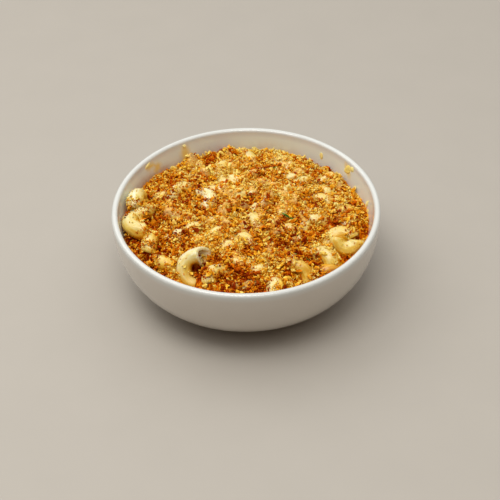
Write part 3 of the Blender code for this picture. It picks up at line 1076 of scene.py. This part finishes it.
def smoothed(grid, reach):
    """The grid averaged over a square of cells that reaches this far each way."""
    size = 2 * reach + 1
    padded = np.pad(grid, ((reach + 1, reach), (reach + 1, reach)), "edge")
    sums = padded.cumsum(axis=0).cumsum(axis=1)
    return (sums[size:, size:] - sums[:-size, size:] - sums[size:, :-size] + sums[:-size, :-size]) / size**2


def paint_shade_in_gaps(pieces, ground):
    """Painted shade between the crumbs: what lies low there is darker and redder. Painted light: what stands out is
    paler.
    """
    level = smoothed(ground.height, 4)
    for piece in pieces:
        mesh = piece.data
        places = np.empty(3 * len(mesh.vertices), np.float32)
        mesh.vertices.foreach_get("co", places)
        places = places.reshape(-1, 3)
        tints = np.empty(4 * len(places), np.float32)
        mesh.attributes["tint"].data.foreach_get("color", tints)
        tints = tints.reshape(-1, 4)
        cells = ((places[:, :2] + ground.half) / ground.CELL).astype(int).clip(0, ground.COUNT - 1)
        proud = np.clip((places[:, 2] - level[cells[:, 0], cells[:, 1]]) / MM, -1, 1)
        tints[:, :3] = np.clip(paint_shade_and_light(tints[:, :3], proud), 0, 0.95)
        mesh.attributes["tint"].data.foreach_set("color", tints.ravel())


def pick_tint(palette, count):
    """A colour for each piece: one of the palette's, a little lighter or darker."""
    colours = np.array([colour for _, colour in palette])
    weights = np.array([weight for weight, _ in palette], float)
    chosen = colours[rng.choice(len(colours), count, p=weights / weights.sum())]
    return np.clip(chosen * rng.uniform(0.82, 1.15, (count, 1)), 0, 0.95)


def toasted_tints(places, shift, spread=0.13):
    """A colour for each crumb: as toasted as its place is, give or take, and its kind's shift."""
    tones = np.array([toasting_and_front_shade(x, y) for x, y, _ in places]) + shift + rng.normal(0, spread, len(places))
    return toast_colours(tones) * rng.uniform(0.88, 1.08, (len(places), 1))


# Laid from the first to the last, so that the oily toasted ones lie deepest: name, count,
# smallest and largest size (mm), and how much more toasted than their place they are.
CRUMB_KINDS = [
    ("crumbs_burnt", 600, (0.6, 1.5), 0.42),
    ("crumbs_toasted", 4800, (0.8, 2.2), 0.2),
    ("crumbs_golden", 6200, (0.8, 2.2), 0.0),
    ("crumbs_pale", 3600, (0.7, 2.0), -0.28),
]
COARSE_COUNT = 1300
FLECK_COUNT = 6000


def crumb_places(ground, count, low, high, shift=0.0, thin_on_pasta=1.0):
    """Random places on the food and a size for each, fewer on the barer macaroni."""
    places, sizes = [], []
    while len(places) < count:
        size = MM * (low + (high - low) * rng.uniform() ** 2.4)
        x, y = ground.settle(INNER_RADIUS - 0.6 * MM)
        radius = math.hypot(x, y)
        bare = ground.bare[ground.index(x), ground.index(y)]
        if rng.uniform() < bumps(HOLLOWS, x, y) / (2.5 * MM):
            continue
        browned = toasting_and_front_shade(x, y)
        if rng.uniform() > 0.6 + 2.2 * shift * (browned - 0.5):
            continue
        if bare > 0 and rng.uniform() < bare * thin_on_pasta * (1.1 + shift):
            continue
        level = ground.height[ground.index(x), ground.index(y)]
        if radius + size / 2 > inside_point(inside_turn(min(level + size / 2, 45 * MM)))[0] - 0.1 * MM:
            continue
        places.append((x, y, ground.lay(x, y, size)))
        sizes.append(size)
    return np.array(places), np.array(sizes)


def make_crumbs(ground):
    shapes, faces = crumb_shapes(1, 14, 0.45)
    pieces = []
    for name, count, (low, high), shift in CRUMB_KINDS:
        places, sizes = crumb_places(ground, count, low, high, shift)
        tints = toasted_tints(places, shift)
        pieces.append(scatter(name, places, sizes, tints, shapes, faces, crumb_material(name), shade_painted=True))
    return pieces


def make_coarse_crumbs(ground):
    """The largest flakes of bread, which lie on top."""
    shapes, faces = crumb_shapes(2, 8, 0.34)
    places, sizes = crumb_places(ground, COARSE_COUNT, 1.5, 3.2, 0.0, 1.15)
    tints = toasted_tints(places, 0.0, 0.2)
    material = crumb_material("crumbs_coarse")
    return scatter("crumbs_coarse", places, sizes, tints, shapes, faces, material, shade_painted=True)


def make_flecks(ground):
    """The finest shreds of bread, mostly pale, lying loose over everything: eight faces each."""
    corners = np.concatenate([np.eye(3), -np.eye(3)])
    faces = np.array([(0, 1, 2), (1, 3, 2), (3, 4, 2), (4, 0, 2), (1, 0, 5), (3, 1, 5), (4, 3, 5), (0, 4, 5)])
    shapes = [0.5 * corners * rng.uniform((1.0, 0.3, 0.2), (1.6, 0.6, 0.5)) for _ in range(8)]
    places, sizes = crumb_places(ground, FLECK_COUNT, 0.6, 1.5, -0.1, 0.85)
    tints = toasted_tints(places, -0.16, 0.2)
    material = crumb_material("crumbs_fine")
    return scatter("crumbs_fine", places, sizes, tints, shapes, faces, material, shade_painted=True)


# ---------------------------------------------------------------- pepper and herbs

PEPPER_COUNT = 80
HERB_SLIVERS = [
    # place (mm), way it runs (degrees), length (mm)
    (23.4, -3, 150, 5.6),
    (17, 43, 15, 3.4),
    (57, 10, 40, 2.6),
    (33, -37, 120, 2.8),
    (-35, -1, 60, 1.6),
    (12, 3, 20, 2.0),
    (27, -33, 100, 2.2),
    (-52, -12, 70, 1.8),
]


def make_pepper(ground):
    shapes, faces = crumb_shapes(1, 6, 0.3)
    places, sizes = crumb_places(ground, PEPPER_COUNT, 0.45, 1.0, 0.0, 0.7)
    tints = pick_tint([(3, srgb(40, 28, 20)), (1, srgb(74, 50, 34))], len(places))
    return scatter("pepper", places, sizes, tints, shapes, faces, crumb_material("pepper", 0.5))


def make_herbs(ground):
    """Chopped herb leaves: thin slivers lying on the crumbs."""
    shapes, faces = crumb_shapes(2, 3, 0.08)
    slivers = [shape * np.array((1.0, 0.32, 0.16)) for shape in shapes]
    extra = []
    for _ in range(34):
        radius = 60 * math.sqrt(rng.uniform())
        azimuth = rng.uniform(0, math.tau)
        extra.append((radius * math.cos(azimuth), radius * math.sin(azimuth), rng.uniform(0, 360), rng.uniform(0.7, 1.5)))
    places, sizes, turns = [], [], []
    for x, y, way, length in [*HERB_SLIVERS, *extra]:
        x, y = x * MM, y * MM
        level = ground.height[ground.index(x), ground.index(y)]
        places.append((x, y, level + 0.15 * MM))
        sizes.append(length * MM)
        tilt = Matrix.Rotation(math.radians(way), 3, "Z") @ Matrix.Rotation(rng.uniform(-0.3, 0.3), 3, "Y")
        turns.append(np.array(tilt))
    tints = pick_tint([(1, srgb(56, 104, 40)), (1, srgb(96, 128, 48))], len(places))
    material = crumb_material("herbs", 0.45)
    return scatter("herbs", places, sizes, tints, slivers, faces, material, np.array(turns))


# ---------------------------------------------------------------- cheese on the wall

# Smears and bits that stuck to the wall: the way round (degrees) and height (mm), the size
# across, up and through (mm), the lean (degrees) and the colour.
WALL_SMEARS = [
    (120.4, 44.6, 2.2, 2.8, 1.2, 20, srgb(250, 238, 200)),
    (143.0, 44.8, 4.6, 1.6, 0.8, 15, srgb(250, 236, 186)),
    (32.5, 42.8, 4.2, 6.4, 0.9, -35, srgb(244, 226, 156)),
    (29.5, 44.8, 3.0, 3.0, 0.9, -20, srgb(250, 238, 186)),
    (50.0, 41.0, 2.0, 4.4, 1.0, 10, srgb(250, 232, 176)),
    (9.0, 38.2, 3.0, 5.4, 1.2, -10, srgb(250, 240, 196)),
    (5.5, 36.0, 2.8, 5.0, 1.2, -5, srgb(244, 224, 156)),
    (-63.5, 44.8, 5.6, 3.6, 1.8, 10, srgb(250, 234, 176)),
    (201, 40.6, 2.2, 3.0, 0.9, 10, srgb(238, 170, 40)),
]


def make_smears():
    verts, faces = ico_sphere(3)
    lumps, places, turns = [], [], []
    for azimuth, height, across, up, through, lean, _ in WALL_SMEARS:
        azimuth, lean = math.radians(azimuth), math.radians(lean)
        radius = inside_point(inside_turn(height * MM))[0]
        above = inside_point(inside_turn((height + 0.8) * MM))[0]
        slope = math.atan2(above - radius, 0.8 * MM)
        places.append((radius * math.cos(azimuth), radius * math.sin(azimuth), height * MM))
        uneven = 1 + 0.35 * np.array([smooth_noise(x, y + z, 0.7, height) for x, y, z in verts])
        lumps.append(0.5 * verts * uneven[:, None] * np.array((across, up, through)))
        facing = Matrix.Rotation(azimuth - math.pi / 2, 3, "Z") @ Matrix.Rotation(math.pi / 2 - slope, 3, "X")
        turns.append(np.array(facing @ Matrix.Rotation(lean, 3, "Z")))
    count = len(places)
    tints = np.array([smear[-1] for smear in WALL_SMEARS])
    material = crumb_material("wall_cheese", 0.4)
    order = np.arange(count)
    return scatter("wall_cheese", places, [MM] * count, tints, lumps, faces, material, np.array(turns), order, 0)


# ---------------------------------------------------------------- stage

CAMERA_ELEVATION = math.radians(40.72)
CAMERA_ROLL = math.radians(-1.21)
CAMERA_DISTANCE = 0.7452
AIM_FROM_RIM_CENTRE = Vector((1.79, -38.13, 0.0)) * MM


def add_camera():
    data = bpy.data.cameras.new("camera")
    data.lens = 100
    data.sensor_width = 36
    camera = bpy.data.objects.new("camera", data)
    bpy.context.scene.collection.objects.link(camera)
    backwards = Vector((0, -math.cos(CAMERA_ELEVATION), math.sin(CAMERA_ELEVATION)))
    level_up = Vector((0, math.sin(CAMERA_ELEVATION), math.cos(CAMERA_ELEVATION)))
    c, s = math.cos(CAMERA_ROLL), math.sin(CAMERA_ROLL)
    side = c * Vector((1, 0, 0)) + s * level_up
    up = -s * Vector((1, 0, 0)) + c * level_up
    aim = Vector((0, 0, BOWL_HEIGHT)) + AIM_FROM_RIM_CENTRE
    place = Matrix((side, up, backwards)).transposed().to_4x4()
    place.translation = aim + CAMERA_DISTANCE * backwards
    camera.matrix_world = place
    bpy.context.scene.camera = camera


def add_area_light(name, azimuth, elevation, distance, width, height, power, colour):
    data = bpy.data.lights.new(name, "AREA")
    data.shape = "RECTANGLE"
    data.size = width
    data.size_y = height
    data.energy = power
    data.color = colour
    light = bpy.data.objects.new(name, data)
    bpy.context.scene.collection.objects.link(light)
    azimuth, elevation = math.radians(azimuth), math.radians(elevation)
    away = Vector(
        (math.cos(elevation) * math.cos(azimuth), math.cos(elevation) * math.sin(azimuth), math.sin(elevation))
    )
    light.location = Vector((0, 0, BOWL_HEIGHT)) + distance * away
    light.rotation_euler = away.to_track_quat("Z", "Y").to_euler()


def add_world():
    """Soft room light, brighter and cooler from the back than from the front."""
    world = bpy.data.worlds.new("studio")
    bpy.context.scene.world = world
    world.use_nodes = True
    tree = world.node_tree
    way = tree.nodes.new("ShaderNodeTexCoord")
    towards = tree.nodes.new("ShaderNodeVectorMath")
    towards.operation = "DOT_PRODUCT"
    towards.inputs[1].default_value = (-0.05, 0.25, 0.97)
    tree.links.new(way.outputs["Generated"], towards.inputs[0])
    ramp = tree.nodes.new("ShaderNodeValToRGB")
    ramp.color_ramp.elements[0].position = 0.25
    ramp.color_ramp.elements[0].color = (0.10, 0.058, 0.028, 1.0)
    ramp.color_ramp.elements[1].position = 0.8
    ramp.color_ramp.elements[1].color = (1.0, 1.0, 0.98, 1.0)
    tree.links.new(towards.outputs["Value"], ramp.inputs["Fac"])
    tree.links.new(ramp.outputs["Color"], tree.nodes["Background"].inputs["Color"])
    tree.nodes["Background"].inputs["Strength"].default_value = 1.1


def add_stage():
    size = 3.0
    verts = np.array([(-size, -size, 0), (size, -size, 0), (size, size, 0), (-size, size, 0)])
    floor = mesh_object("floor", verts, np.array([[0, 1, 2, 3]]), plain_material("floor", srgb(176, 169, 159), 0.6, 30))
    add_world()
    add_area_light("key", 150, 50, 1.1, 0.9, 0.7, 3.0, (1.0, 1.0, 0.98))
    add_area_light("overhead", 240, 76, 1.1, 0.7, 0.5, 5.0, (1.0, 0.995, 0.97))
    bpy.context.scene.view_settings.view_transform = "Standard"


# ---------------------------------------------------------------- all together

add_camera()
add_stage()
make_bowl()

pasta = pasta_material()
proud = [(*numbers[:-1], name in OPEN_ENDS, TAILS.get(name, 0)) for name, numbers in PROUD_MACARONI.items()]
shown = [*proud, *showing_macaroni()]
looks = [*PROUD_LOOKS.values(), *((bare, SHOWING_REACH, yellow + 0.4) for *_, bare, yellow in SHOWING_BACKS)]
macaroni = make_macaroni("macaroni", shown, [yellow for *_, yellow in looks], pasta)
sunk = [*sunk_macaroni()]
covered = make_macaroni("covered_macaroni", sunk, [0.4] * len(sunk), pasta)
bed = make_bed(covered)
ground = Ground(bed, covered, macaroni, [(*numbers[:2], *look[:2]) for numbers, look in zip(shown, looks)])
crumbs = [*make_crumbs(ground), make_coarse_crumbs(ground), make_flecks(ground)]
paint_shade_in_gaps([bed, *crumbs], ground)
make_pepper(ground)
make_herbs(ground)
make_smears()
